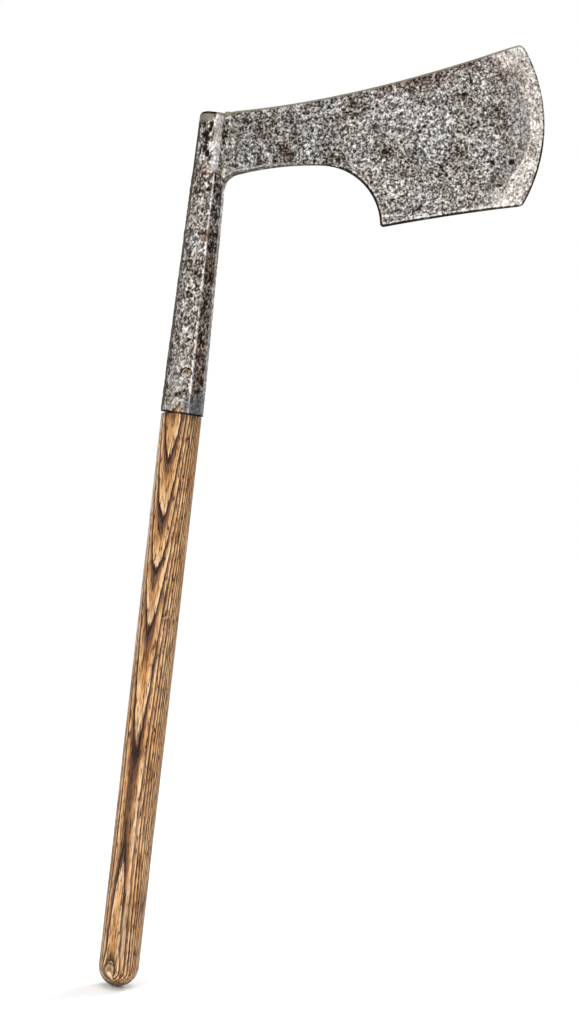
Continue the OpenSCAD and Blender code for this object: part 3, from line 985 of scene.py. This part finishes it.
def haft_profile():
    """Radius and height of the haft from the butt's end to the tenon's end."""
    dome, shoulder_round = GRIP_R, 1.0 * MM
    bend = np.linspace(2, 90, 60)
    dome_part = [(dome * np.sin(a), BUTT_Z + dome - dome * np.cos(a)) for a in np.radians(bend)]
    grip_rows = 560
    grip = [(GRIP_R, z) for z in np.linspace(BUTT_Z + dome, SHOULDER_Z - shoulder_round, grip_rows)[1:]]
    shoulder = [
        (GRIP_R - shoulder_round * (1 - np.cos(a)), SHOULDER_Z - shoulder_round * (1 - np.sin(a)))
        for a in np.radians((30, 60, 90))
    ]
    step = [(r, SHOULDER_Z) for r in np.linspace(GRIP_R - 1.4 * MM, MOUTH_BORE_R, 4)]
    behind_notch = np.linspace(SHOULDER_Z, MOUTH_Z + 14 * MM, 48)[1:]
    tenon_heights = np.concatenate([behind_notch, np.linspace(MOUTH_Z + 17 * MM, HAFT_END_Z, 50)])
    tenon = [(taper(z, MOUTH_BORE_R, TOP_BORE_R), z) for z in tenon_heights]
    end = [(r, HAFT_END_Z) for r in np.linspace(TOP_BORE_R * 0.95, 0.4 * MM, 16)]
    return np.array(dome_part + grip + shoulder + step + tenon + end)


def haft_places():
    """The turned haft: its points and faces, and where each point lies, in millimetres."""
    columns, profile = 220, haft_profile()
    r, z = (np.repeat(sizes, columns) for sizes in profile.T)
    t = np.tile(np.linspace(-math.pi, math.pi, columns, endpoint=False), len(profile))
    way, points = turned_points(t, r, z)
    at = SimpleNamespace(points=points, way=way, x=points[:, 0] / MM, z=z / MM)
    at.ring_faces = grid_faces(len(profile), columns) + end_caps(columns, len(z))
    at.below_shoulder, at.above_mouth = (SHOULDER_Z - z) / MM, (z - MOUTH_Z) / MM
    at.above_butt = (z - BUTT_Z) / MM
    at.to_front, at.front = np.cos(t), smooth(0.0, 0.5, np.cos(t))
    at.knot_x, at.knot_up = (points[:, 0] - KNOT[0]) / MM, (z - KNOT[1]) / MM
    return at


def knot_fields(at):
    """The chipped knot at the butt: a sunk heart, its dark rim, and a torn pale side."""
    torn = 0.8 * noise(at.points, 3, 413)
    away = np.hypot(at.knot_x, at.knot_up / 1.35) + torn
    heart = smooth(4.4, 3.2, away) * at.front
    rim = near(away, 4.6, 0.8) * at.front
    from_splinter = np.hypot(at.knot_x + 1.0 + 0.5 * at.knot_up, (at.knot_up + 4.0) / 1.8)
    return heart, rim, smooth(2.3, 1.2, from_splinter + torn) * at.front


def haft_shape(at, count, heart, rim, splinter):
    """The haft's points, worn along the growth lines and grip, the knot sunk and the shoulder raised."""
    part = count % 1.0
    worn = 0.08 * near(np.minimum(part, 1 - part), 0, 0.10) + 0.12
    worn += 0.06 * noise(at.points, (1.3, 1.3, 20), 411) + 0.16 * noise(at.points, (14, 14, 45), 412)
    worn += 0.2 * (0.5 - at.above_butt / (at.above_butt + at.below_shoulder))
    sink = smooth(-0.2, 2, at.below_shoulder) * np.maximum(worn, 0)
    sink += 0.55 * heart * (1 - splinter) + 0.35 * rim
    moved = at.points - at.way * sink[:, None] * MM
    moved[:, 2] += 0.35 * MM * smooth(9, 0, at.below_shoulder) * (at.below_shoulder >= -0.01)
    return moved


def haft_stain(at, heart, rim, splinter):
    """Long dirty streaks, darker towards the shoulder, a painted shadow line just below it, painted shade in
    the gap above it, and dirt round the knot and butt.
    """
    dirt = noise(at.points, (5, 5, 34), 421) + 0.5 * noise(at.points, (1.8, 1.8, 26), 422)
    soot = smooth(-0.6, 0.5, noise(at.points, (3, 3, 8), 423))
    handled = smooth(-0.1, 0.5, noise(at.points, (4, 4, 60), 425) + 0.3)
    stain = 0.34 * smooth(0.1, 0.9, dirt) + 0.13 * smooth(-100, -200, at.z) * handled
    # Darker towards the shoulder, with a painted shadow line just below it, broken by noise.
    stain += 0.16 * smooth(34, 6, at.below_shoulder) + 0.50 * smooth(6, 0, at.below_shoulder) * soot
    # Painted shade on the tenon in the gap between the shoulder and the socket's mouth.
    stain += 0.9 * smooth(0.1, -0.1, at.below_shoulder) * smooth(0.5, 0.1, at.above_mouth)
    stain += 0.75 * smooth(9, 3, at.above_butt + 3 * noise(at.points, 4, 414))
    stain += 0.9 * rim + 0.20 * heart * (1 - splinter)
    stain += 0.55 * near(at.knot_x, 0, 2.4) * near(at.knot_up, 11, 5) * at.front
    stain += 0.9 * near(at.knot_x, 2.6, 2.4) * near(at.knot_up, -6.4, 1.7) * at.front
    return np.clip(stain, 0, 0.92)


def haft_chips(at, heart, splinter):
    """Pale wood: painted light on the tenon behind the socket's notch, bare wood on the torn knot and in a
    scratch, and a painted sheen along a streak.
    """
    # Painted light on the tenon seen through the socket's notch.
    in_notch = smooth(0.3, 1.0, at.above_mouth) * smooth(14, 8, at.above_mouth)
    scratch = near(at.x, 7.0, 2.2) * near(at.z - 0.4 * at.knot_x, 66, 0.7) * at.front
    # A painted sheen along a streak down the front.
    rub = near(at.x, 1.8, 1.9) * at.front * smooth(-35, -70, at.z) * smooth(-238, -200, at.z)
    rub *= np.clip(0.6 + 1.2 * noise(at.points, (1.4, 1.4, 14), 424), 0, 1)
    return np.clip(0.55 * in_notch + 0.85 * splinter + 0.15 * heart + 0.5 * scratch + 0.5 * rub, 0, 1)


def make_haft():
    """The ash haft, turned along its profile, with raised grain, dents, a knot and a chipped butt."""
    at = haft_places()
    mesh = mesh_from(at.points, at.ring_faces)
    count = ring_count(at.points)
    heart, rim, splinter = knot_fields(at)
    set_points(mesh, haft_shape(at, count, heart, rim, splinter))
    stain, chip = haft_stain(at, heart, rim, splinter), haft_chips(at, heart, splinter)
    # grey: painted shade towards the haft's sides.
    keep(mesh, ring=count, stain=stain, chip=chip, grey=0.10 * smooth(0.40, 0.05, abs(at.to_front)))
    mesh = cut(mesh, cut_room(*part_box("haft_wedge"), 0.02 * MM), "DIFFERENCE")
    place(new_object("ash_haft", mesh), ash_material(), "ash_wood", "haft")


# Thickness of the wedge's driven tip
WEDGE_TIP_T = 0.8 * MM


def cut_room(low, high, room):
    """The slot that the wedge was driven into: a tall narrow V, a little larger than the wedge."""
    reach, over = high.x + 2 * MM, 3 * MM
    half, tip = high.y + room, WEDGE_TIP_T / 2 + room
    side = ((tip, low.z), (half, high.z), (half, high.z + over))
    outline = [(-reach, -y, z) for y, z in side] + [(-reach, y, z) for y, z in side[::-1]]
    return prism(outline, (1, 0, 0), 0, 2 * reach)


def make_wedge():
    """The driven wedge, trimmed to the tenon's taper."""
    low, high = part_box("haft_wedge")
    start = low.z - 5 * MM
    low_r, high_r = (taper(z, MOUTH_BORE_R, TOP_BORE_R) for z in (start, high.z))
    mesh = cut(cut_room(low, high, 0.0), cone_tool(start, high.z, low_r, high_r), "INTERSECT")
    place(new_object("oak_wedge", mesh), wedge_material(), "wedge_wood", "haft_wedge")


# ---------------- the nails
def nail_rings(head_r, length):
    """A nail's rings from its face to its point: radius, depth behind the face, and 1 where it is square."""
    head_t, shank_w, point_w = 2.6 * MM, 3.4 * MM, 1.0 * MM
    rings = [(head_r * share, 0.8 * MM * share**2, 0.0) for share in np.linspace(0.06, 1, 14)]
    rings += [(head_r * 0.985, depth, 0.0) for depth in (1.2 * MM, 2.0 * MM, head_t)]
    rings += [(2.6 * MM, head_t + 0.05 * MM, 1.0), (shank_w / 2, head_t + 0.3 * MM, 1.0)]
    return rings + [(point_w / 2, length, 1.0)]


def make_nail(node, side, seed):
    """A hand-forged nail: a lumpy head and a square tapered shank. side is -1 in front and 1 at the back."""
    low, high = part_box(node)
    x, z = (low.x + high.x) / 2, (low.z + high.z) / 2
    face_y = low.y if side < 0 else high.y
    settled, columns = 0.35 * MM, 64
    turn = np.linspace(0, 2 * math.pi, columns, endpoint=False)
    square = 1 / np.maximum(abs(np.cos(turn)), abs(np.sin(turn)))
    rings = nail_rings((high.z - low.z) / 2 * 0.99, high.y - low.y)
    points = []
    for radius, depth, squared in rings:
        lump = 1 + 0.05 * np.sin(turn * 5 + seed) * (1 - squared)
        r = radius * (square * squared + lump * 0.95 * (1 - squared))
        deep = depth * (1 - 0.45 * (1 - np.sin(turn)) * (depth < 1 * MM))
        points.append(np.column_stack([x + r * np.cos(turn), face_y - side * deep, z + r * np.sin(turn)]))
    points = np.vstack(points) - (0, 0, settled)
    points[:, 2] = np.maximum(points[:, 2], low.z)
    mesh = mesh_from(points, grid_faces(len(rings), columns) + end_caps(columns, len(points)))
    dent = 0.18 * MM * noise(points, 2.6, seed)
    points[:, 1] -= side * abs(dent)
    set_points(mesh, points)
    pits = pitted(points, seed + 60)[0]
    empty = np.zeros(len(points))
    keep(mesh, tone=np.clip(0.50 + 0.8 * pits, 0, 1), rust=empty + 0.35, cool=empty, wear=empty, grime=empty)
    brown = stops((44, 36, 30), (134, 122, 110), (216, 206, 192))
    rusty = stops((40, 27, 20), (122, 98, 78), (200, 180, 158))
    iron = iron_material(node + "_iron", brown, rusty, seen(215, 205, 190))
    place(new_object(node + "_forged", mesh), iron, "nail_iron", node)


# ---------------- the scene
bpy.context.scene.view_settings.view_transform = "Standard"
make_camera()
make_floor()
make_lights()
make_blade()
make_socket()
make_haft()
make_wedge()
make_nail("front_nail", -1, 501)
make_nail("back_nail", 1, 531)
